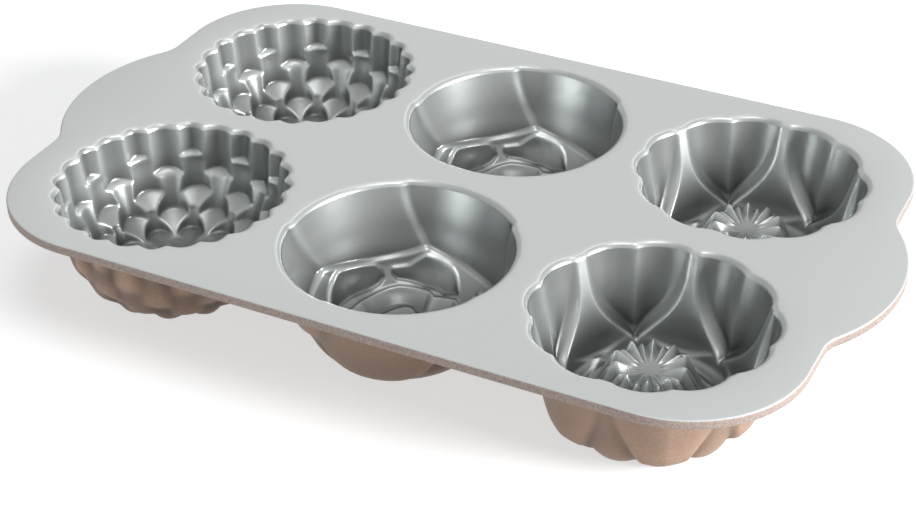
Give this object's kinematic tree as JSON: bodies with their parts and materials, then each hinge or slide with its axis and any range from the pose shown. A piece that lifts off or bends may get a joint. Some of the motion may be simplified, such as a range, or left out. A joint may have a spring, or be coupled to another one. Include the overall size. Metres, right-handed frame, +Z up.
{
  "type": "cakelet pan",
  "caption": "Shallow flower cake mould tray: a flat deck with rounded handle lobes, carrying open dahlia, rose and lotus shaped baking cups.",
  "frame": {"origin": "under the middle of the pan, in the plane that its cups stand on", "axes": "+Z up out of the cups; X along the pan, dahlia cups at -X and lotus cups at +X; -Y is the front row"},
  "size_m": [0.3946, 0.2424, 0.052],
  "materials": {
    "deck_coating": "matte silver grey release coating, rose bronze below",
    "dahlia_coating": "satin silver grey release coating, rose bronze below",
    "rose_coating": "satin silver grey release coating, rose bronze below",
    "lotus_coating": "satin silver grey release coating, rose bronze below"
  },
  "bodies": {
    "root": {"deck_plate": "deck_coating", "dahlia_cup_front": "dahlia_coating", "dahlia_cup_rear": "dahlia_coating", "rose_cup_front": "rose_coating", "rose_cup_rear": "rose_coating", "lotus_cup_front": "lotus_coating", "lotus_cup_rear": "lotus_coating"}
  },
  "joints": []
}
